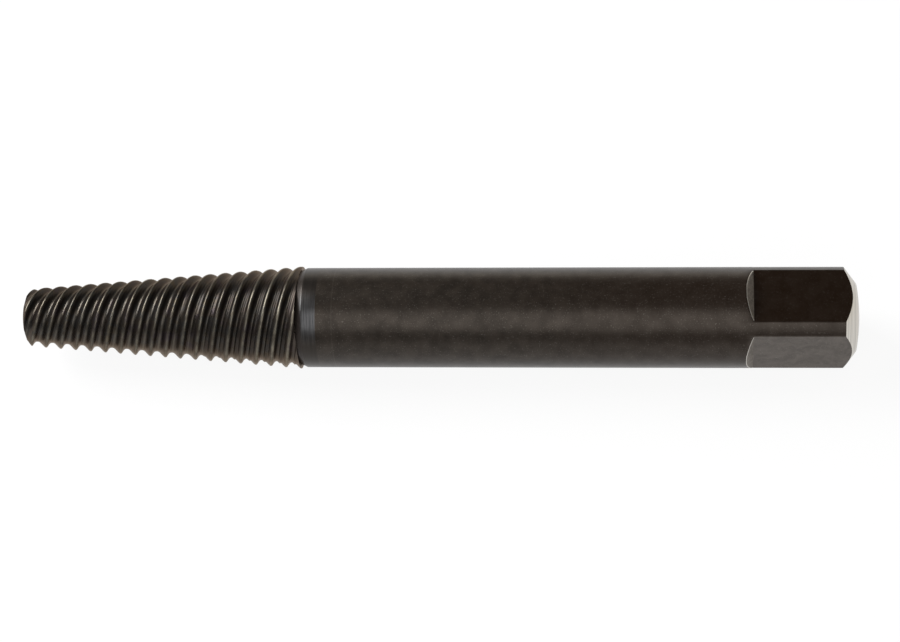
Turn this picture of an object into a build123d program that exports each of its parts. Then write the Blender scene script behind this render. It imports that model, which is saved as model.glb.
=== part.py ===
"""Screw extractor: one bar of hardened steel with a tapered left-hand fluted nose,
a round shank and a square drive. Lengths are in millimetres.

The axis lies along X. The origin is the middle of the nose's tip, +X runs towards
the square drive and +Z is up. Two flats of the square are level.
"""

import os
from math import ceil, cos, radians, sin

from build123d import *

# Fluted nose, measured over its crests
nose_length = 24.55
nose_tip_diameter = 5.1
nose_large_diameter = 8.96
tip_chamfer_length = 0.3
tip_chamfer_depth = 0.38

# Flutes of the nose, which climb to the left. A flute is reckoned from the start of
# its crest to the start of the next: the crest ends, and the floor starts and ends,
# at these shares of the way.
flute_count = 4
flute_lead = 5.4
flute_depth = 0.47
crest_end_share = 0.1
floor_start_share = 0.32
floor_end_share = 0.6
crest_run_out_angle = 20.0

# Equal wedges round a core make up the nose. Their bore and the core are shares of
# the tip's radius.
wedge_count = 8
bore_share = 0.4
core_share = 0.6

# Round shank
shank_diameter = 8.7
shank_length = 39.2
shank_chamfer_length = 0.52
shank_chamfer_depth = 0.24

# Square drive, with its corners left round
drive_sides = 4
drive_across_flats = 7.0
drive_length = 8.7
shoulder_length = 0.62

# Turned end of the drive
end_chamfer_length = 1.06
end_face_diameter = 5.84
end_crown_height = 0.27

# Radii and stations along the axis
tip_radius = nose_tip_diameter / 2
nose_large_radius = nose_large_diameter / 2
shank_radius = shank_diameter / 2
end_face_radius = end_face_diameter / 2
flat_height = drive_across_flats / 2
flats_start = nose_length + shank_length
drive_end = flats_start + drive_length
overall_length = drive_end + end_crown_height

# Steps from flute to flute and from wedge to wedge, and the length by which the
# wedges run past both ends of the nose before they are trimmed
flute_pitch = flute_lead / flute_count
wedge_angle = 360 / wedge_count
wedge_advance = flute_lead / wedge_count
run_out = flute_pitch / 2

# Outline that trims the nose: a cone at the tip, then a cylinder clear of the crests
tip_rim_radius = tip_radius - tip_chamfer_depth
trim_radius = nose_large_radius + flute_depth
trim_cone_length = (trim_radius - tip_rim_radius) * tip_chamfer_length / tip_chamfer_depth


def nose_radius(station):
    """Radius of the nose over its crests at a station along the axis."""
    return tip_radius + (nose_large_radius - tip_radius) * station / nose_length


def wedge_arc(start_angle, start_station, depth=None):
    """Arc that climbs to the left through one wedge.

    It keeps a depth below the crests. With no depth given it lies on the bore.
    """
    points = []
    for share in (0, 0.5, 1):
        angle = radians(start_angle + share * wedge_angle)
        station = start_station - share * wedge_advance
        if depth is None:
            radius = tip_radius * bore_share
        else:
            radius = nose_radius(station) - depth
        points.append((station, radius * cos(angle), radius * sin(angle)))
    return Edge.make_three_point_arc(*points)


def fluted_wedge(start_angle):
    """Wedge of the nose between two half-planes through its axis.

    Helical strips make up its outside: a narrow crest, two flanks and a floor for
    each flute.
    """
    end_crest = nose_length - flute_lead * (start_angle - crest_run_out_angle) / 360
    first_crest = (end_crest + run_out) % flute_pitch - flute_pitch - run_out
    crest_count = ceil((nose_length + run_out + wedge_advance - first_crest) / flute_pitch)
    last_crest = first_crest + crest_count * flute_pitch
    flute_profile = (
        (0, 0),
        (crest_end_share, 0),
        (floor_start_share, flute_depth),
        (floor_end_share, flute_depth),
    )
    arcs = []
    for crest in range(crest_count):
        for share, depth in flute_profile:
            station = first_crest + (crest + share) * flute_pitch
            arcs.append(wedge_arc(start_angle, station, depth))
    arcs.append(wedge_arc(start_angle, last_crest, 0))
    arcs.append(wedge_arc(start_angle, last_crest))
    arcs.append(wedge_arc(start_angle, first_crest))
    faces = []
    for number, arc in enumerate(arcs):
        faces.append(Face.make_surface_from_curves(arcs[number - 1], arc))
    for end in (0, 1):
        faces.append(Face(Wire.make_polygon([arc @ end for arc in arcs], close=True)))
    return Solid(Shell(faces))


with BuildPart() as extractor_body:
    # Nose: fluted wedges round a core
    add([fluted_wedge(wedge * wedge_angle) for wedge in range(wedge_count)])
    with BuildSketch(Plane.YZ):
        Circle(tip_radius * core_share)
    extrude(amount=nose_length)

    # The nose is trimmed square at both ends, with a chamfer that leaves a round rim
    with BuildSketch(Plane.XZ):
        with BuildLine():
            Polyline(
                (0, 0),
                (0, tip_rim_radius),
                (trim_cone_length, trim_radius),
                (nose_length, trim_radius),
                (nose_length, 0),
                close=True,
            )
        make_face()
    revolve(axis=Axis.X, mode=Mode.INTERSECT)

    # Shank with its front chamfer, and the turned end with its shallow crown
    with BuildSketch(Plane.XZ):
        with BuildLine():
            Polyline(
                (nose_length, 0),
                (nose_length, shank_radius - shank_chamfer_depth),
                (nose_length + shank_chamfer_length, shank_radius),
                (drive_end - end_chamfer_length, shank_radius),
                (drive_end, end_face_radius),
            )
            RadiusArc(
                (drive_end, end_face_radius),
                (overall_length, 0),
                (end_face_radius**2 + end_crown_height**2) / (2 * end_crown_height),
            )
            Line((overall_length, 0), (nose_length, 0))
        make_face()
    revolve(axis=Axis.X)

    # Flats of the square, each with a sloping shoulder towards the shank
    for side in range(drive_sides):
        with BuildSketch(Plane.XZ.rotated((side * 360 / drive_sides, 0, 0))):
            with BuildLine():
                Polyline(
                    (flats_start, flat_height),
                    (overall_length, flat_height),
                    (overall_length, shank_radius),
                    (flats_start - shoulder_length, shank_radius),
                    close=True,
                )
            make_face()
        extrude(amount=shank_radius, both=True, mode=Mode.SUBTRACT)

extractor_body.part.label = "extractor_body"
os.makedirs("parts", exist_ok=True)
export_step(extractor_body.part, "parts/extractor_body.step")
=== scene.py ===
"""Screw extractor: one bar of blackened steel with a tapered left-hand fluted nose,
a round shank and a square drive with a bare turned end.

The nose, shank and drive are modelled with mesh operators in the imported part's own
place. The finishes are procedural and read Object coordinates. Lengths are in metres,
except for the places and depths that the finishes read, which are in millimetres.
"""

from math import atan2, cos, pi, radians, sin, tau

import bmesh
import bpy
from bpy.props import FloatProperty, FloatVectorProperty, IntProperty, PointerProperty
from mathutils import Matrix, Vector


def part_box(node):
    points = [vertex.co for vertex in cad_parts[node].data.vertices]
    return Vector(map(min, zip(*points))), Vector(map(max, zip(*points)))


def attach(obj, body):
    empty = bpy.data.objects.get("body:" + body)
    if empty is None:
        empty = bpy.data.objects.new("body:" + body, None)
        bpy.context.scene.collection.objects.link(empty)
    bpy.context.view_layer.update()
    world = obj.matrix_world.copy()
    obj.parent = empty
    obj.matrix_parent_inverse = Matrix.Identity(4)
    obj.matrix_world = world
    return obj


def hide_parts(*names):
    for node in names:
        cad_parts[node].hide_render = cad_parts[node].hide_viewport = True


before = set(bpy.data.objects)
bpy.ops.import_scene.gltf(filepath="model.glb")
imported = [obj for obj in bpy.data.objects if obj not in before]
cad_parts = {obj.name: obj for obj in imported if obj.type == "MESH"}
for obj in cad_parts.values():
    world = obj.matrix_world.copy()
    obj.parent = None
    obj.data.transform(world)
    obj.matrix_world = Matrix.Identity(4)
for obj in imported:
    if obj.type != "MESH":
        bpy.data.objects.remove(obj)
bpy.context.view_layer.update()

bl_info = {
    "name": "Screw extractor",
    "version": (1, 0, 0),
    "blender": (4, 5, 0),
    "location": "3D View > Sidebar > Extractor",
    "description": "Builds a left-hand screw extractor with its finishes and a plain light table",
    "category": "Add Mesh",
}

NODE = "extractor_body"
BOX_LOW, BOX_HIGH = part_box(NODE)

MM = 0.001
MERGE_DISTANCE = 2e-7

# Flute from the start of its crest to the start of the next one: places across it and
# the depth there, as shares of its width and of its full depth
FLUTE_PROFILE = (
    (0.0, 0.0),
    (0.05, 0.0),
    (0.09, 0.04),
    (0.125, 0.14),
    (0.16, 0.29),
    (0.20, 0.48),
    (0.24, 0.66),
    (0.28, 0.80),
    (0.33, 0.92),
    (0.39, 0.98),
    (0.46, 1.0),
    (0.53, 1.0),
    (0.60, 0.94),
    (0.66, 0.83),
    (0.72, 0.68),
    (0.78, 0.51),
    (0.84, 0.34),
    (0.89, 0.21),
    (0.94, 0.09),
    (0.98, 0.02),
)

# Low step in the long flank of the flutes, where the nose is thick: its place across a
# flute, its half width, its height as a share of the depth, and where it sets in
STEP_PLACE = 0.58
STEP_HALF_WIDTH = 0.13
STEP_HEIGHT = 0.36
STEP_START = 13.0 * MM
STEP_FULL = 19.0 * MM

# Fineness of the surfaces: segments round the shank, steps of the crown's arc, and steps
# in one turn of a flute
TURNED_SEGMENTS = 192
CROWN_STEPS = 8
STEPS_PER_TURN = 72

# Flats of the square, and the angle past which an edge is softened
DRIVE_SIDES = 4
SOFTENED_ANGLE = radians(12.0)

# The object's finishes in the order of their slots
BLACKENED, FLUTED, BARE, GROUND, WORN = range(5)

# Length of the ground band from the end of the nose, and the least share of X in the
# normal of a face that belongs to the turned end or to a sloping shoulder
BAND_LENGTH = 1.75 * MM
TURNED_END_LEAN = 0.3
SHOULDER_LEAN = 0.7

# Stations between which parts of the finishes set in: brown oxide, flats, deeper wear of
# the crests, last groove, and the band after its chamfer
BROWN_STATIONS = (38.0, 60.0)
FLATS_STATIONS = (62.8, 64.0)
WEAR_STATIONS = (18.0, 23.0)
LAST_GROOVE_STATIONS = (24.0, 24.4)
BAND_STATIONS = (24.9, 25.2)

# Heights over the axis between which the face of a flat sets in
FLAT_HEIGHTS = (3.42, 3.48)

# Fine ring on the shank: its station, and the distances from it over which it sets in
RING_STATION = 27.72
RING_DISTANCES = (0.07, 0.02)

# Depths below the crests between which painted shade darkens the flanks, clears again and gives way
# to the floor of the flutes
SHADE_DEPTHS = (0.12, 0.24)
CLEAR_DEPTHS = (0.40, 0.47)
FLOOR_DEPTHS = (0.45, 0.48)

# Painted highlight on the ground band, in a patch that faces up and to the front: the Y and Z of
# the way it faces, and how far out that way it sets in
HIGHLIGHT_PATCH_Y = -0.53
HIGHLIGHT_PATCH_Z = 0.85
HIGHLIGHT_PATCH_HEIGHTS = (3.5, 4.3)

# Size and detail of the cloudy patches in the oxide, and the warm tint of its gloss
CLOUD_SCALE = 0.9
CLOUD_DETAIL = 3.0
WARM_GLOSS = (1.0, 0.87, 0.76)

# Ranges of a noise value that a soft and a crisp pattern stretch to the range 0 to 1
SOFT_PATTERN = (0.3, 0.7)
CRISP_PATTERN = (0.35, 0.65)

# Weight of large faces in the even shading of the whole piece
SHADING_WEIGHT = 80

# Floor: its size, and the share of it that is plain white to the camera and in reflections
FLOOR_RADIUS = 2.0
FLOOR_SEGMENTS = 64
WHITE_SHARE = 0.91

# Lamps: name, place from the middle of the extractor, size and radiance
LAMPS = (
    ("front_lamp", (0.0, -0.265, 0.33), 0.34, 1.9),
    ("side_lamp", (-0.30, 0.12, 0.24), 0.28, 11.0),
)

# World: its colours, and the shares of a direction's Z, -X and -Y between which they
# give way to each other
HORIZON_COLOUR = (1.35, 1.26, 1.10)
OVERHEAD_COLOUR = (0.13, 0.13, 0.13)
LEFT_COLOUR = (0.12, 0.12, 0.12)
FRONT_COLOUR = (0.3, 0.3, 0.3)
OVERHEAD_RISE = (0.04, 0.38)
LEFT_REACH = (0.3, 0.75)
FRONT_REACH = (0.2, 0.8)

# Camera: the station it looks at, how far below the axis, and where its view starts
AIM_STATION = 37.54 * MM
AIM_DROP = 0.3 * MM
CLIP_START = 1.0 * MM


# Sizes and finishes that a user would change


class ExtractorSizes(bpy.types.PropertyGroup):
    """Sizes of the extractor, along and across its axis"""

    nose_length: FloatProperty(
        name="Nose length",
        description="Length of the fluted nose",
        default=24.55 * MM,
        unit="LENGTH",
    )
    tip_diameter: FloatProperty(
        name="Tip diameter",
        description="Diameter over the crests at the thin end of the nose",
        default=5.1 * MM,
        unit="LENGTH",
    )
    nose_diameter: FloatProperty(
        name="Nose diameter",
        description="Diameter over the crests at the thick end of the nose",
        default=8.96 * MM,
        unit="LENGTH",
    )
    tip_chamfer: FloatProperty(
        name="Tip chamfer",
        description="Length of the chamfer round the tip",
        default=0.3 * MM,
        unit="LENGTH",
    )
    tip_chamfer_depth: FloatProperty(
        name="Tip chamfer depth",
        description="How far the chamfer takes the crests down at the tip",
        default=0.38 * MM,
        unit="LENGTH",
    )
    flute_count: IntProperty(
        name="Flutes",
        description="Number of left-hand flutes",
        default=4,
        min=2,
    )
    flute_lead: FloatProperty(
        name="Flute lead",
        description="Distance along the axis in which a flute goes round once",
        default=5.4 * MM,
        unit="LENGTH",
    )
    flute_depth: FloatProperty(
        name="Flute depth",
        description="Depth of a flute below its crests",
        default=0.46 * MM,
        unit="LENGTH",
    )
    crest_angle: FloatProperty(
        name="Crest angle",
        description="Angle at which a crest ends at the shank",
        default=radians(20.0),
        subtype="ANGLE",
    )
    shank_diameter: FloatProperty(
        name="Shank diameter",
        description="Diameter of the round shank",
        default=8.7 * MM,
        unit="LENGTH",
    )
    shank_chamfer: FloatProperty(
        name="Shank chamfer",
        description="Length of the chamfer at the front of the shank",
        default=0.52 * MM,
        unit="LENGTH",
    )
    shank_chamfer_depth: FloatProperty(
        name="Shank chamfer depth",
        description="Depth of the chamfer at the front of the shank",
        default=0.24 * MM,
        unit="LENGTH",
    )
    across_flats: FloatProperty(
        name="Across flats",
        description="Width of the square drive across its flats",
        default=7.0 * MM,
        unit="LENGTH",
    )
    drive_length: FloatProperty(
        name="Drive length",
        description="Length of the flats with the end chamfer",
        default=8.7 * MM,
        unit="LENGTH",
    )
    shoulder_length: FloatProperty(
        name="Shoulder length",
        description="Length of the sloping shoulder at the start of each flat",
        default=0.62 * MM,
        unit="LENGTH",
    )
    end_chamfer: FloatProperty(
        name="End chamfer",
        description="Length of the chamfer at the end of the drive",
        default=1.06 * MM,
        unit="LENGTH",
    )
    end_face_diameter: FloatProperty(
        name="End face diameter",
        description="Diameter of the shallow crown at the end of the drive",
        default=5.84 * MM,
        unit="LENGTH",
    )
    crown_height: FloatProperty(
        name="Crown height",
        description="Height of the shallow crown at the end of the drive",
        default=0.27 * MM,
        unit="LENGTH",
    )
    edge_width: FloatProperty(
        name="Edge width",
        description="Width by which the edges of the shank and drive are softened",
        default=0.05 * MM,
        unit="LENGTH",
    )


class ExtractorFinish(bpy.types.PropertyGroup):
    """Colours of the steel in its different finishes"""

    oxide: FloatVectorProperty(
        name="Black oxide",
        description="Colour of the blackened steel",
        subtype="COLOR",
        size=3,
        default=(0.0078, 0.0054, 0.0036),
    )
    speck: FloatVectorProperty(
        name="Speck",
        description="Colour of the fine pale specks in the oxide",
        subtype="COLOR",
        size=3,
        default=(0.13, 0.12, 0.108),
    )
    flute: FloatVectorProperty(
        name="Flute",
        description="Colour of the steel inside the flutes",
        subtype="COLOR",
        size=3,
        default=(0.032, 0.026, 0.020),
    )
    crest: FloatVectorProperty(
        name="Worn crest",
        description="Colour of the steel where the crests have worn bright",
        subtype="COLOR",
        size=3,
        default=(0.19, 0.172, 0.135),
    )
    bare: FloatVectorProperty(
        name="Bare steel",
        description="Colour of the bare turned end",
        subtype="COLOR",
        size=3,
        default=(0.66, 0.63, 0.58),
    )
    worn: FloatVectorProperty(
        name="Worn shoulder",
        description="Colour of the sloping shoulders, where the oxide has worn thin",
        subtype="COLOR",
        size=3,
        default=(0.20, 0.175, 0.15),
    )
    ground: FloatVectorProperty(
        name="Ground band",
        description="Colour of the ground band next to the flutes",
        subtype="COLOR",
        size=3,
        default=(0.0064, 0.0052, 0.0044),
    )


class LightTable(bpy.types.PropertyGroup):
    """The floor, the lamps and the camera"""

    floor_colour: FloatVectorProperty(
        name="Floor",
        description="Colour of the plain floor",
        subtype="COLOR",
        size=3,
        default=(0.92, 0.92, 0.92),
    )
    camera_distance: FloatProperty(
        name="Camera distance",
        description="Distance from the camera to the axis of the extractor",
        default=200.5 * MM,
        unit="LENGTH",
    )
    camera_elevation: FloatProperty(
        name="Camera elevation",
        description="Angle of the view above the floor, across the axis",
        default=radians(58.3),
        subtype="ANGLE",
    )
    camera_yaw: FloatProperty(
        name="Camera yaw",
        description="Angle by which the drive end stands nearer the camera",
        default=radians(6.0),
        subtype="ANGLE",
    )
    lens: FloatProperty(
        name="Lens",
        description="Focal length of the camera in millimetres",
        default=92.0,
        subtype="DISTANCE_CAMERA",
    )


# Shapes


def polyline(mesh, points):
    """Open line of (station, radius) points in the upper half of the XZ plane."""
    corners = [mesh.verts.new((station, 0.0, radius)) for station, radius in points]
    sides = [mesh.edges.new(pair) for pair in zip(corners, corners[1:])]
    return corners + sides


def welded(mesh):
    """The same mesh with its near points merged and its faces turned outward."""
    bmesh.ops.remove_doubles(mesh, verts=mesh.verts, dist=MERGE_DISTANCE)
    bmesh.ops.recalc_face_normals(mesh, faces=mesh.faces)
    return mesh


def turned(points):
    """Solid of revolution about the X axis, as a mesh of its own."""
    mesh = bmesh.new()
    bmesh.ops.spin(
        mesh,
        geom=polyline(mesh, points),
        cent=(0, 0, 0),
        axis=(1, 0, 0),
        angle=tau,
        steps=TURNED_SEGMENTS,
        use_merge=True,
    )
    return welded(mesh)


def edges_of(items):
    """The edges among the parts of a mesh that an operator gives back."""
    return [item for item in items if isinstance(item, bmesh.types.BMEdge)]


def cut_across(mesh, point, normal, clear_outer):
    """Cuts a mesh along a plane and gives the edges of the cut.

    With clear_outer, what lies beyond the plane is taken away.
    """
    result = bmesh.ops.bisect_plane(
        mesh,
        geom=mesh.verts[:] + mesh.edges[:] + mesh.faces[:],
        dist=MERGE_DISTANCE / 10,
        plane_co=point,
        plane_no=normal,
        clear_outer=clear_outer,
    )
    return edges_of(result["geom_cut"])


def open_end(mesh, station):
    """Removes the flat faces at a station, where another length is joined on."""
    ends = [
        face
        for face in mesh.faces
        if all(abs(corner.co.x - station) < MERGE_DISTANCE for corner in face.verts)
    ]
    bmesh.ops.delete(mesh, geom=ends, context="FACES")


def joined(parts):
    """One mesh that holds several, which are used up."""
    whole = bmesh.new()
    for part in parts:
        carrier = bpy.data.meshes.new("part")
        part.to_mesh(carrier)
        whole.from_mesh(carrier)
        bpy.data.meshes.remove(carrier)
        part.free()
    return whole


def soften(mesh, width, clear_radius):
    """Bevels every edge that turns more than the softened angle, and gives the new faces.

    Edges too short for the bevel are closed up first, outside a radius from the axis.
    """
    outer = [
        edge
        for edge in mesh.edges
        if all(corner.co.yz.length > clear_radius for corner in edge.verts)
    ]
    bmesh.ops.dissolve_degenerate(mesh, dist=width, edges=outer)
    sharp = [
        edge
        for edge in mesh.edges
        if len(edge.link_faces) == 2 and edge.calc_face_angle(0.0) > SOFTENED_ANGLE
    ]
    result = bmesh.ops.bevel(
        mesh,
        geom=sharp,
        offset=width,
        offset_type="OFFSET",
        affect="EDGES",
        segments=2,
        profile=0.5,
        material=-1,
        clamp_overlap=True,
    )
    return result["faces"]


def drive_stations(sizes):
    """Stations where the shoulders, the flats and the end chamfer start."""
    chamfer_end = BOX_HIGH.x - sizes.crown_height
    flats_start = chamfer_end - sizes.drive_length
    shoulder_start = flats_start - sizes.shoulder_length
    return shoulder_start, flats_start, chamfer_end - sizes.end_chamfer


def crown_outline(sizes):
    """Points of the shallow crown, on an arc from the end chamfer in to the axis."""
    face_radius = sizes.end_face_diameter / 2
    arc_radius = (face_radius**2 + sizes.crown_height**2) / (2 * sizes.crown_height)
    points = []
    for step in range(CROWN_STEPS + 1):
        radius = face_radius * (1 - step / CROWN_STEPS)
        station = BOX_HIGH.x - arc_radius + (arc_radius**2 - radius**2) ** 0.5
        points.append((station, radius))
    return points


def shank_and_drive(sizes):
    """Shank with its front chamfer, the sloping shoulders and the square drive."""
    radius = sizes.shank_diameter / 2
    flat = sizes.across_flats / 2
    shoulder_start, flats_start, chamfer_start = drive_stations(sizes)
    shank = turned(
        [
            (sizes.nose_length, 0.0),
            (sizes.nose_length, radius - sizes.shank_chamfer_depth),
            (sizes.nose_length + sizes.shank_chamfer, radius),
            (shoulder_start, radius),
            (shoulder_start, 0.0),
        ]
    )
    shoulders = turned(
        [
            (shoulder_start, 0.0),
            (shoulder_start, radius),
            (flats_start, radius),
            (flats_start, 0.0),
        ]
    )
    drive = turned(
        [(flats_start, 0.0), (flats_start, radius), (chamfer_start, radius)]
        + crown_outline(sizes)
    )
    slope = Vector((radius - flat, 0.0, sizes.shoulder_length)).normalized()
    for side in range(DRIVE_SIDES):
        turn = Matrix.Rotation(side * tau / DRIVE_SIDES, 3, "X")
        for length, normal in ((shoulders, slope), (drive, Vector((0.0, 0.0, 1.0)))):
            point = turn @ Vector((flats_start, 0.0, flat))
            rim = cut_across(length, point, turn @ normal, clear_outer=True)
            bmesh.ops.contextual_create(length, geom=rim)
    open_end(shank, shoulder_start)
    open_end(shoulders, shoulder_start)
    open_end(shoulders, flats_start)
    open_end(drive, flats_start)
    return welded(joined([shank, shoulders, drive]))


def finished_body(sizes):
    """Shank and drive with softened edges, and each face in the finish of its place."""
    body = shank_and_drive(sizes)
    shoulder_start, flats_start, chamfer_start = drive_stations(sizes)
    for face in soften(body, sizes.edge_width, sizes.end_face_diameter / 2):
        middle = face.calc_center_median().x
        if middle < sizes.nose_length + sizes.shank_chamfer / 2:
            face.material_index = FLUTED
        elif middle < sizes.nose_length + 2 * sizes.shank_chamfer:
            face.material_index = GROUND
        elif middle < flats_start - sizes.edge_width:
            face.material_index = BARE
    band_end = sizes.nose_length + BAND_LENGTH
    cut_across(body, (band_end, 0, 0), (1, 0, 0), clear_outer=False)
    for face in body.faces:
        middle = face.calc_center_median().x
        lean = abs(face.normal.x)
        blackened = face.material_index == BLACKENED
        if middle > chamfer_start and lean > TURNED_END_LEAN:
            face.material_index = BARE
        elif blackened and middle < band_end:
            face.material_index = GROUND
        elif blackened and shoulder_start < middle < flats_start and lean > SHOULDER_LEAN:
            face.material_index = WORN
    return body


def flute_ring(mesh, sizes, start_angle):
    """Section of the thick end, closed by a face. Gives its points and edges."""
    radius = sizes.nose_diameter / 2
    flute_angle = tau / sizes.flute_count
    segments = sizes.flute_count * len(FLUTE_PROFILE)
    ring = bmesh.ops.create_circle(mesh, segments=segments, radius=radius)["verts"]
    for index, corner in enumerate(ring):
        flute, place = divmod(index, len(FLUTE_PROFILE))
        share, depth = FLUTE_PROFILE[place]
        reach = radius - sizes.flute_depth * depth
        angle = start_angle + (flute + share) * flute_angle
        corner.co = (0.0, reach * cos(angle), reach * sin(angle))
    edges = mesh.edges[:]
    bmesh.ops.contextual_create(mesh, geom=edges)
    return ring + edges


def step_rise(sizes, station, share):
    """Rise of the low step in the long flank, at a station and a share across a flute."""
    off_step = abs(share - STEP_PLACE) / STEP_HALF_WIDTH
    grown = min(max((station - STEP_START) / (STEP_FULL - STEP_START), 0.0), 1.0)
    return sizes.flute_depth * STEP_HEIGHT * grown * max(1.0 - off_step, 0.0)


def fluted_nose(sizes):
    """Nose: a fluted ring that is screwed along the axis, then drawn down to the tip."""
    turns = sizes.nose_length / sizes.flute_lead
    steps = round(turns * STEPS_PER_TURN)
    start_angle = sizes.crest_angle + turns * tau
    mesh = bmesh.new()
    spun = bmesh.ops.spin(
        mesh,
        geom=flute_ring(mesh, sizes, start_angle),
        cent=(0, 0, 0),
        axis=(1, 0, 0),
        dvec=(sizes.nose_length / steps, 0, 0),
        angle=-turns * tau,
        steps=steps,
    )
    bmesh.ops.contextual_create(mesh, geom=edges_of(spun["geom_last"]))
    thick = sizes.nose_diameter / 2
    thin = sizes.tip_diameter / 2
    taper = (thick - thin) / sizes.nose_length
    flute_angle = tau / sizes.flute_count
    chamfer_slope = sizes.tip_chamfer_depth / sizes.tip_chamfer
    for corner in mesh.verts:
        station = corner.co.x
        across = Vector((0.0, corner.co.y, corner.co.z))
        turned_by = atan2(across.z, across.y) - start_angle + station / sizes.flute_lead * tau
        step = step_rise(sizes, station, turned_by / flute_angle % 1.0)
        radius = across.length + step - (thick - thin - taper * station)
        rim = thin - sizes.tip_chamfer_depth + chamfer_slope * station
        across.normalize()
        across *= min(radius, rim)
        corner.co = (station, across.y, across.z)
    bmesh.ops.recalc_face_normals(mesh, faces=mesh.faces)
    return mesh


# Finishes


def node(tree, kind, **settings):
    """New node in a tree, with properties and input defaults set by name."""
    made = tree.nodes.new(kind)
    for name, value in settings.items():
        if hasattr(made, name):
            setattr(made, name, value)
        else:
            made.inputs[name].default_value = value
    return made


def new_group(name, inputs, outputs):
    """Empty shader node group with named sockets for numbers."""
    group = bpy.data.node_groups.new(name, "ShaderNodeTree")
    for label, default in inputs:
        socket = group.interface.new_socket(
            name=label, in_out="INPUT", socket_type="NodeSocketFloat"
        )
        socket.default_value = default
    for label in outputs:
        group.interface.new_socket(name=label, in_out="OUTPUT", socket_type="NodeSocketFloat")
    return group, group.nodes.new("NodeGroupInput"), group.nodes.new("NodeGroupOutput")


def value_math(tree, operation, *terms, clamp=False):
    """Math node that takes numbers or sockets, and gives its result socket."""
    made = node(tree, "ShaderNodeMath", operation=operation, use_clamp=clamp)
    for index, term in enumerate(terms):
        if isinstance(term, (int, float)):
            made.inputs[index].default_value = term
        else:
            tree.links.new(term, made.inputs[index])
    return made.outputs[0]


def millimetres(tree):
    """Object coordinates in millimetres."""
    place = node(tree, "ShaderNodeTexCoord")
    scale = node(tree, "ShaderNodeMapping", Scale=(1 / MM, 1 / MM, 1 / MM))
    tree.links.new(place.outputs["Object"], scale.inputs["Vector"])
    return scale.outputs["Vector"]


def axes(tree, vector):
    """X, Y and Z of a vector."""
    split = node(tree, "ShaderNodeSeparateXYZ")
    tree.links.new(vector, split.inputs["Vector"])
    return split.outputs["X"], split.outputs["Y"], split.outputs["Z"]


def axis_distance(tree, y, z):
    """Distance from the extractor's axis."""
    across = node(tree, "ShaderNodeCombineXYZ")
    tree.links.new(y, across.inputs["Y"])
    tree.links.new(z, across.inputs["Z"])
    length = node(tree, "ShaderNodeVectorMath", operation="LENGTH")
    tree.links.new(across.outputs["Vector"], length.inputs[0])
    return length.outputs["Value"]


def noise(tree, vector, scale, detail=2.0, rough=0.5, distortion=0.0):
    """Noise value at a scale in features per millimetre."""
    made = node(
        tree,
        "ShaderNodeTexNoise",
        Scale=scale,
        Detail=detail,
        Roughness=rough,
        Distortion=distortion,
    )
    tree.links.new(vector, made.inputs["Vector"])
    return made.outputs["Fac"]


def ramp(tree, value, low, high):
    """Value from 0 to 1 as an input goes from low to high."""
    made = node(tree, "ShaderNodeMapRange", clamp=True, interpolation_type="SMOOTHSTEP")
    made.inputs["From Min"].default_value = low
    made.inputs["From Max"].default_value = high
    tree.links.new(value, made.inputs["Value"])
    return made.outputs["Result"]


def between(tree, value, low, high):
    """Value from low to high as an input goes from 0 to 1."""
    return value_math(tree, "MULTIPLY_ADD", value, high - low, low)


def mixed(tree, share, first, second):
    """Colour mixed from two colours or sockets by a share."""
    made = node(tree, "ShaderNodeMix", data_type="RGBA")
    tree.links.new(share, made.inputs["Factor"])
    for socket, colour in ((made.inputs[6], first), (made.inputs[7], second)):
        if isinstance(colour, bpy.types.NodeSocket):
            tree.links.new(colour, socket)
        else:
            socket.default_value = (*colour, 1.0)
    return made.outputs[2]


def graded(tree, value, stops):
    """Colour from a ramp, whose stops of position and colour come in rising order."""
    made = node(tree, "ShaderNodeValToRGB")
    elements = made.color_ramp.elements
    elements[0].position = stops[0][0]
    elements[1].position = stops[-1][0]
    for position, _ in stops[1:-1]:
        elements.new(position)
    for element, (_, colour) in zip(elements, stops):
        element.color = (*colour, 1.0)
    tree.links.new(value, made.inputs["Fac"])
    return made.outputs["Color"]


def relief(tree, shader, height, strength, distance):
    """Gives a shader fine relief from a height value."""
    bump = node(tree, "ShaderNodeBump", Strength=strength, Distance=distance)
    tree.links.new(height, bump.inputs["Height"])
    tree.links.new(bump.outputs["Normal"], shader.inputs["Normal"])


def scaled(colour, factor):
    """Colour with all its channels times a factor."""
    return tuple(channel * factor for channel in colour)


def speckle_group():
    """Fine pale specks, broad cloudy patches and fine grain of a blackened surface."""
    group, into, out = new_group(
        "speckle",
        [("Speck size", 9.0), ("Speck cover", 0.6)],
        ["Specks", "Clouds", "Grain"],
    )
    place = millimetres(group)
    speck_contrast = 9.0
    fine = node(group, "ShaderNodeTexNoise", Detail=3.0, Roughness=0.6)
    group.links.new(place, fine.inputs["Vector"])
    group.links.new(into.outputs["Speck size"], fine.inputs["Scale"])
    above = value_math(group, "SUBTRACT", fine.outputs["Fac"], into.outputs["Speck cover"])
    specks = value_math(group, "MULTIPLY", above, speck_contrast, clamp=True)
    group.links.new(specks, out.inputs["Specks"])
    group.links.new(noise(group, place, CLOUD_SCALE, CLOUD_DETAIL), out.inputs["Clouds"])
    group.links.new(noise(group, place, scale=16.0), out.inputs["Grain"])
    return group


def steel_material(name, settings):
    """Material with its node tree, and its shader set by the names of the sockets."""
    material = bpy.data.materials.new(name)
    material.use_nodes = True
    tree = material.node_tree
    shader = tree.nodes["Principled BSDF"]
    for socket, value in settings.items():
        shader.inputs[socket].default_value = value
    return material, tree, shader


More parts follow.
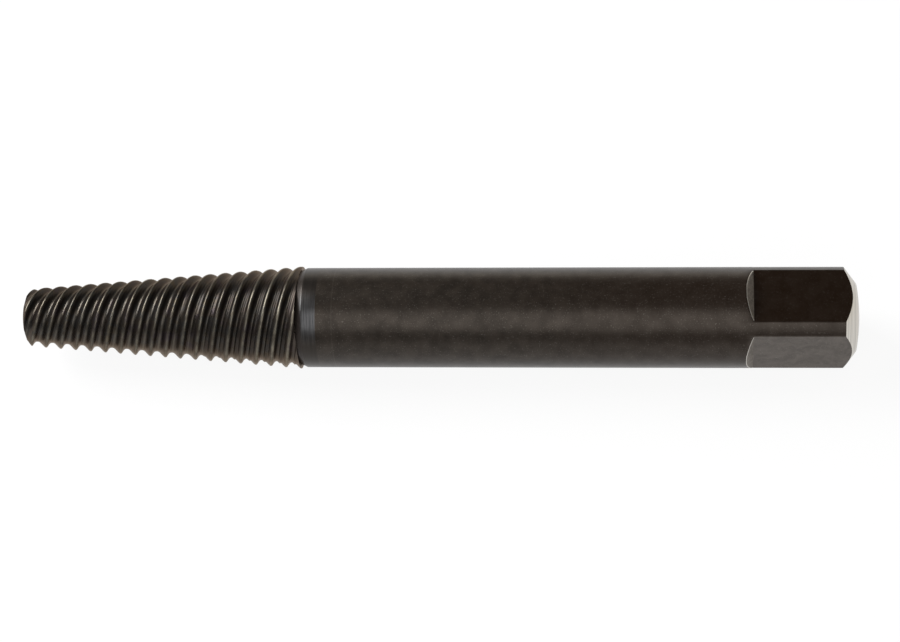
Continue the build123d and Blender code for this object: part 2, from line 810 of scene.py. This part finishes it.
def blackened_steel(finish):
    """Black oxide with fine pale specks and cloudy patches, browner towards the drive."""
    # The export drops a linked specular level, so the socket also holds a plain value
    settings = {
        "Metallic": 0.0,
        "Specular IOR Level": 0.42,
        "Specular Tint": (*WARM_GLOSS, 1.0),
    }
    material, tree, shader = steel_material("blackened_steel", settings)
    pattern = node(tree, "ShaderNodeGroup", node_tree=speckle_group())
    place = millimetres(tree)
    x, y, z = axes(tree, place)
    on_flats = ramp(tree, x, *FLATS_STATIONS)
    # The upper flat is painted darker as shade, with fewer specks and a lower gloss
    top_flat_shade = value_math(tree, "MULTIPLY", on_flats, ramp(tree, z, *FLAT_HEIGHTS))

    # Colour: cloudy patches under the brown, and specks, of which the upper flat has few so that it
    # is painted darker as shade
    brown_share = 0.85
    brown_factors = (1.0, 0.68, 0.46)
    brown = tuple(channel * factor for channel, factor in zip(finish.oxide, brown_factors))
    darker = scaled(finish.oxide, 0.8)
    lighter = scaled(finish.oxide, 1.25)
    oxide = mixed(tree, ramp(tree, pattern.outputs["Clouds"], *CRISP_PATTERN), darker, lighter)
    browned = value_math(tree, "MULTIPLY", ramp(tree, x, *BROWN_STATIONS), brown_share)
    oxide = mixed(tree, browned, oxide, brown)
    cover = between(tree, top_flat_shade, 0.45, 0.15)
    specks = value_math(tree, "MULTIPLY", pattern.outputs["Specks"], cover)
    tree.links.new(mixed(tree, specks, oxide, finish.speck), shader.inputs["Base Color"])

    # Gloss: mottled and lower on the upper flat as painted shade, with a fine ring on the shank and
    # wavy rubbed patches on the front and back flats
    ring_gloss = 0.12
    top_flat_shade_gloss = -0.2
    wavy = noise(tree, place, CLOUD_SCALE, detail=4.0, rough=0.6, distortion=1.5)
    rubbed = between(tree, ramp(tree, wavy, *SOFT_PATTERN), 0.3, 0.6)
    sideways = ramp(tree, value_math(tree, "ABSOLUTE", y), *FLAT_HEIGHTS)
    rubbed = value_math(tree, "MULTIPLY", sideways, rubbed)
    rubbed = value_math(tree, "MULTIPLY", on_flats, rubbed)
    off_ring = value_math(tree, "ABSOLUTE", value_math(tree, "SUBTRACT", x, RING_STATION))
    ring = value_math(tree, "MULTIPLY", ramp(tree, off_ring, *RING_DISTANCES), ring_gloss)
    mottled = between(tree, noise(tree, place, CLOUD_SCALE, CLOUD_DETAIL), 0.22, 0.62)
    mottled = value_math(tree, "MULTIPLY_ADD", top_flat_shade, top_flat_shade_gloss, mottled)
    gloss = value_math(tree, "ADD", value_math(tree, "ADD", rubbed, ring), mottled)
    tree.links.new(gloss, shader.inputs["Specular IOR Level"])

    rough = between(tree, pattern.outputs["Grain"], 0.29, 0.41)
    tree.links.new(rough, shader.inputs["Roughness"])
    relief(tree, shader, pattern.outputs["Grain"], strength=0.25, distance=0.004 * MM)
    return material


def worn_steel(finish):
    """Sloping shoulders with the oxide worn thin in spots."""
    settings = {"Metallic": 0.4, "Roughness": 0.55}
    material, tree, shader = steel_material("worn_steel", settings)
    spots = noise(tree, millimetres(tree), scale=4.0, detail=3.0, rough=0.6)
    spots = ramp(tree, spots, *SOFT_PATTERN)
    colour = mixed(tree, spots, scaled(finish.worn, 0.6), finish.worn)
    tree.links.new(colour, shader.inputs["Base Color"])
    return material


def fluted_steel(finish, sizes):
    """Dark steel with temper tints in the flutes and worn bright crests."""
    settings = {"Metallic": 0.72, "Specular Tint": (0.80, 0.66, 0.54, 1.0)}
    material, tree, shader = steel_material("fluted_steel", settings)
    place = millimetres(tree)
    x, y, z = axes(tree, place)
    taper = (sizes.nose_diameter - sizes.tip_diameter) / 2 / sizes.nose_length
    tip_radius = sizes.tip_diameter / 2 / MM
    crest_radius = value_math(tree, "MULTIPLY_ADD", x, taper, tip_radius)
    below = value_math(tree, "SUBTRACT", crest_radius, axis_distance(tree, y, z))

    # Flanks and floor: temper tints, painted shade on the flanks at mid depth, paler on the floor
    # and in the last groove
    tints = (
        (0.3, (0.027, 0.0215, 0.026)),
        (0.45, finish.flute),
        (0.58, (0.029, 0.029, 0.029)),
        (0.72, (0.042, 0.033, 0.022)),
    )
    flank_shade_colour = (0.022, 0.018, 0.017)
    flank_shade_share = 0.4
    floor_colour = (0.105, 0.094, 0.078)
    last_groove_colour = (0.06, 0.05, 0.043)
    # Painted shade on the flanks at mid depth, between the crests and the floor
    darkened = ramp(tree, below, *SHADE_DEPTHS)
    cleared = ramp(tree, below, *CLEAR_DEPTHS)
    shadowed = value_math(tree, "SUBTRACT", darkened, cleared)
    painted_shade = value_math(tree, "MULTIPLY", shadowed, flank_shade_share)
    tinted = graded(tree, noise(tree, place, scale=0.8), tints)
    flanks = mixed(tree, painted_shade, tinted, flank_shade_colour)
    flanks = mixed(tree, ramp(tree, below, *FLOOR_DEPTHS), flanks, floor_colour)
    last_groove = ramp(tree, x, *LAST_GROOVE_STATIONS)
    flanks = mixed(tree, last_groove, flanks, last_groove_colour)

    # Crests: worn bright to a ragged depth, which is greater at the thick end
    thick_end_reach = 0.02
    wear_contrast = 14.0
    bright_share = 0.8
    reach = between(tree, noise(tree, place, scale=1.1), -0.02, 0.09)
    thick_end = ramp(tree, x, *WEAR_STATIONS)
    reach = value_math(tree, "MULTIPLY_ADD", thick_end, thick_end_reach, reach)
    wear = value_math(tree, "SUBTRACT", reach, below)
    crest_mask = value_math(tree, "MULTIPLY", wear, wear_contrast, clamp=True)
    worn = value_math(tree, "MULTIPLY", crest_mask, bright_share)
    tree.links.new(mixed(tree, worn, flanks, finish.crest), shader.inputs["Base Color"])

    rough = between(tree, noise(tree, place, scale=3.0), 0.24, 0.36)
    tree.links.new(rough, shader.inputs["Roughness"])
    return material


def bare_steel(finish):
    """Bare turned steel with fine rings round the axis."""
    settings = {"Metallic": 1.0, "Roughness": 0.38}
    material, tree, shader = steel_material("bare_turned_steel", settings)
    _, y, z = axes(tree, millimetres(tree))
    rings = node(tree, "ShaderNodeTexNoise", noise_dimensions="1D", Scale=7.0, Detail=3.0)
    tree.links.new(axis_distance(tree, y, z), rings.inputs["W"])
    shade = ramp(tree, rings.outputs["Fac"], *SOFT_PATTERN)
    colour = mixed(tree, shade, scaled(finish.bare, 0.7), finish.bare)
    tree.links.new(colour, shader.inputs["Base Color"])
    relief(tree, shader, rings.outputs["Fac"], strength=0.4, distance=0.01 * MM)
    return material


def ground_steel(finish):
    """Chamfer and ground band next to the flutes, with fine lines round the shank and a painted
    highlight on the side that faces up and to the front.
    """
    # The export drops a linked specular level, so the socket also holds a plain value
    settings = {
        "Metallic": 0.0,
        "Roughness": 0.32,
        "Specular IOR Level": 0.36,
        "Specular Tint": (0.98, 0.92, 0.88, 1.0),
    }
    material, tree, shader = steel_material("ground_band_steel", settings)
    place = millimetres(tree)
    x, y, z = axes(tree, place)
    past_chamfer = ramp(tree, x, *BAND_STATIONS)

    # Colour: fine lines round the band, and a plain chamfer
    chamfer_colour = (0.020, 0.016, 0.014)
    stretch = node(tree, "ShaderNodeMapping", Scale=(9.0, 0.35, 0.35))
    tree.links.new(place, stretch.inputs["Vector"])
    lines = noise(tree, stretch.outputs["Vector"], scale=1.0, detail=4.0, rough=0.65)
    shade = ramp(tree, lines, *CRISP_PATTERN)
    darker = scaled(finish.ground, 0.55)
    lighter = scaled(finish.ground, 1.5)
    band = mixed(tree, shade, darker, lighter)
    colour = mixed(tree, past_chamfer, chamfer_colour, band)
    tree.links.new(colour, shader.inputs["Base Color"])

    # Gloss: a painted highlight, brushed and cool, in a patch that faces up and to the front, warm
    # and even round the rest of the band, and low on the chamfer
    band_gloss = 0.24
    chamfer_gloss = 0.12
    highlight_gloss_tint = (0.96, 0.97, 1.0)
    # Painted highlight where the band faces up and to the front
    facing = value_math(tree, "MULTIPLY", z, HIGHLIGHT_PATCH_Z)
    facing = value_math(tree, "MULTIPLY_ADD", y, HIGHLIGHT_PATCH_Y, facing)
    highlight_patch = ramp(tree, facing, *HIGHLIGHT_PATCH_HEIGHTS)
    brushed_highlight = between(tree, shade, 0.2, 0.7)
    brushed_highlight = value_math(tree, "MULTIPLY_ADD", brushed_highlight, highlight_patch, band_gloss)
    gloss = value_math(tree, "MULTIPLY_ADD", past_chamfer, brushed_highlight, chamfer_gloss)
    tree.links.new(gloss, shader.inputs["Specular IOR Level"])
    tint = mixed(tree, highlight_patch, WARM_GLOSS, highlight_gloss_tint)
    tree.links.new(tint, shader.inputs["Specular Tint"])
    return material


def add_finishes(obj, finish, sizes):
    """Fills the object's slots with its finishes."""
    finishes = {
        BLACKENED: blackened_steel(finish),
        FLUTED: fluted_steel(finish, sizes),
        BARE: bare_steel(finish),
        GROUND: ground_steel(finish),
        WORN: worn_steel(finish),
    }
    for index in sorted(finishes):
        obj.data.materials.append(finishes[index])


def floor_material(colour):
    """Matt floor that is nearly plain white to the camera, but takes shadows."""
    material = bpy.data.materials.new("plain_floor")
    material.use_nodes = True
    tree = material.node_tree
    tree.nodes.clear()
    out = node(tree, "ShaderNodeOutputMaterial")
    matt = node(tree, "ShaderNodeBsdfDiffuse", Color=(*colour, 1.0))
    white = node(tree, "ShaderNodeEmission", Strength=1.0)
    path = node(tree, "ShaderNodeLightPath")
    seen = value_math(tree, "MAXIMUM", path.outputs["Is Camera Ray"], path.outputs["Is Glossy Ray"])
    seen = value_math(tree, "MAXIMUM", seen, path.outputs["Is Transmission Ray"])
    share = value_math(tree, "MULTIPLY", seen, WHITE_SHARE)
    mix = node(tree, "ShaderNodeMixShader")
    tree.links.new(share, mix.inputs["Fac"])
    tree.links.new(matt.outputs["BSDF"], mix.inputs[1])
    tree.links.new(white.outputs["Emission"], mix.inputs[2])
    tree.links.new(mix.outputs["Shader"], out.inputs["Surface"])
    return material


# Operators


def new_object(name, mesh):
    """Object at the origin that takes over a finished mesh."""
    data = bpy.data.meshes.new(name)
    mesh.to_mesh(data)
    mesh.free()
    obj = bpy.data.objects.new(name, data)
    bpy.context.scene.collection.objects.link(obj)
    return obj


class OBJECT_OT_extractor_steel(bpy.types.Operator):
    """Builds the fluted nose, the shank and the square drive as one steel piece"""

    bl_idname = "object.extractor_steel"
    bl_label = "Build extractor"

    def execute(self, context):
        sizes = context.scene.extractor_sizes
        nose = fluted_nose(sizes)
        for face in nose.faces:
            face.material_index = FLUTED
        whole = joined([nose, finished_body(sizes)])
        for face in whole.faces:
            face.smooth = True
        obj = new_object("extractor_steel", whole)
        add_finishes(obj, context.scene.extractor_finish, sizes)
        weighted = obj.modifiers.new("even_shading", "WEIGHTED_NORMAL")
        weighted.keep_sharp = True
        weighted.weight = SHADING_WEIGHT
        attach(obj, "root")
        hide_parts(NODE)
        return {"FINISHED"}


class SCENE_OT_extractor_stage(bpy.types.Operator):
    """Lays the plain floor and sets the lamps, the world and the camera"""

    bl_idname = "scene.extractor_stage"
    bl_label = "Set the light table"

    def execute(self, context):
        settings = context.scene.extractor_stage
        middle = (BOX_LOW + BOX_HIGH) / 2
        self.lay_floor(settings, middle)
        self.set_world(context)
        for name, offset, size, radiance in LAMPS:
            self.add_lamp(name, middle + Vector(offset), middle, size, radiance)
        self.set_camera(context, settings)
        context.scene.view_settings.view_transform = "Standard"
        return {"FINISHED"}

    def lay_floor(self, settings, middle):
        """Round floor that the extractor lies on."""
        mesh = bmesh.new()
        bmesh.ops.create_circle(
            mesh, cap_ends=True, segments=FLOOR_SEGMENTS, radius=FLOOR_RADIUS
        )
        bmesh.ops.translate(mesh, verts=mesh.verts, vec=(middle.x, middle.y, BOX_LOW.z))
        floor = new_object("floor", mesh)
        floor.data.materials.append(floor_material(settings.floor_colour))

    def set_world(self, context):
        """World that is pale at the horizon, and darker overhead, on the left and in front."""
        world = bpy.data.worlds.new("studio")
        context.scene.world = world
        world.use_nodes = True
        tree = world.node_tree
        background = tree.nodes["Background"]
        place = node(tree, "ShaderNodeTexCoord")
        x, y, z = axes(tree, place.outputs["Generated"])
        left = ramp(tree, value_math(tree, "MULTIPLY", x, -1.0), *LEFT_REACH)
        front = ramp(tree, value_math(tree, "MULTIPLY", y, -1.0), *FRONT_REACH)
        colour = mixed(tree, ramp(tree, z, *OVERHEAD_RISE), HORIZON_COLOUR, OVERHEAD_COLOUR)
        colour = mixed(tree, left, colour, LEFT_COLOUR)
        colour = mixed(tree, front, colour, FRONT_COLOUR)
        tree.links.new(colour, background.inputs["Color"])
        background.inputs["Strength"].default_value = 1.0

    def add_lamp(self, name, place, target, size, radiance):
        """Square soft lamp at a place, aimed at a target, with a given brightness."""
        data = bpy.data.lights.new(name, "AREA")
        data.size = size
        data.energy = radiance * pi * size**2
        lamp = bpy.data.objects.new(name, data)
        lamp.location = place
        lamp.rotation_euler = (target - place).to_track_quat("-Z", "Y").to_euler()
        bpy.context.scene.collection.objects.link(lamp)

    def set_camera(self, context, settings):
        """Camera above the front of the extractor, a little nearer its drive."""
        yaw = settings.camera_yaw
        rise = settings.camera_elevation
        back = Vector((sin(yaw), -cos(yaw) * cos(rise), cos(yaw) * sin(rise)))
        along = Vector((1.0, 0.0, 0.0))
        right = (along - back * along.dot(back)).normalized()
        up = back.cross(right)
        aim = Vector((AIM_STATION, 0.0, 0.0)) - up * AIM_DROP
        data = bpy.data.cameras.new("camera")
        data.lens = settings.lens
        data.clip_start = CLIP_START
        camera = bpy.data.objects.new("camera", data)
        place = Matrix((right, up, back)).transposed().to_4x4()
        place.translation = aim + back * settings.camera_distance
        camera.matrix_world = place
        context.scene.collection.objects.link(camera)
        context.scene.camera = camera


class VIEW3D_PT_extractor(bpy.types.Panel):
    """Sizes, finishes and operators of the screw extractor"""

    bl_label = "Screw extractor"
    bl_idname = "VIEW3D_PT_extractor"
    bl_space_type = "VIEW_3D"
    bl_region_type = "UI"
    bl_category = "Extractor"

    def draw(self, context):
        scene = context.scene
        for group in (scene.extractor_sizes, scene.extractor_finish, scene.extractor_stage):
            box = self.layout.box()
            for name in group.__annotations__:
                box.prop(group, name)
        self.layout.operator(OBJECT_OT_extractor_steel.bl_idname)
        self.layout.operator(SCENE_OT_extractor_stage.bl_idname)


CLASSES = (
    ExtractorSizes,
    ExtractorFinish,
    LightTable,
    OBJECT_OT_extractor_steel,
    SCENE_OT_extractor_stage,
    VIEW3D_PT_extractor,
)


def register():
    for item in CLASSES:
        bpy.utils.register_class(item)
    bpy.types.Scene.extractor_sizes = PointerProperty(type=ExtractorSizes)
    bpy.types.Scene.extractor_finish = PointerProperty(type=ExtractorFinish)
    bpy.types.Scene.extractor_stage = PointerProperty(type=LightTable)


def unregister():
    del bpy.types.Scene.extractor_stage
    del bpy.types.Scene.extractor_finish
    del bpy.types.Scene.extractor_sizes
    for item in reversed(CLASSES):
        bpy.utils.unregister_class(item)


def main():
    """Builds the extractor and its stage."""
    register()
    bpy.ops.object.extractor_steel()
    bpy.ops.scene.extractor_stage()


if __name__ == "__main__":
    main()
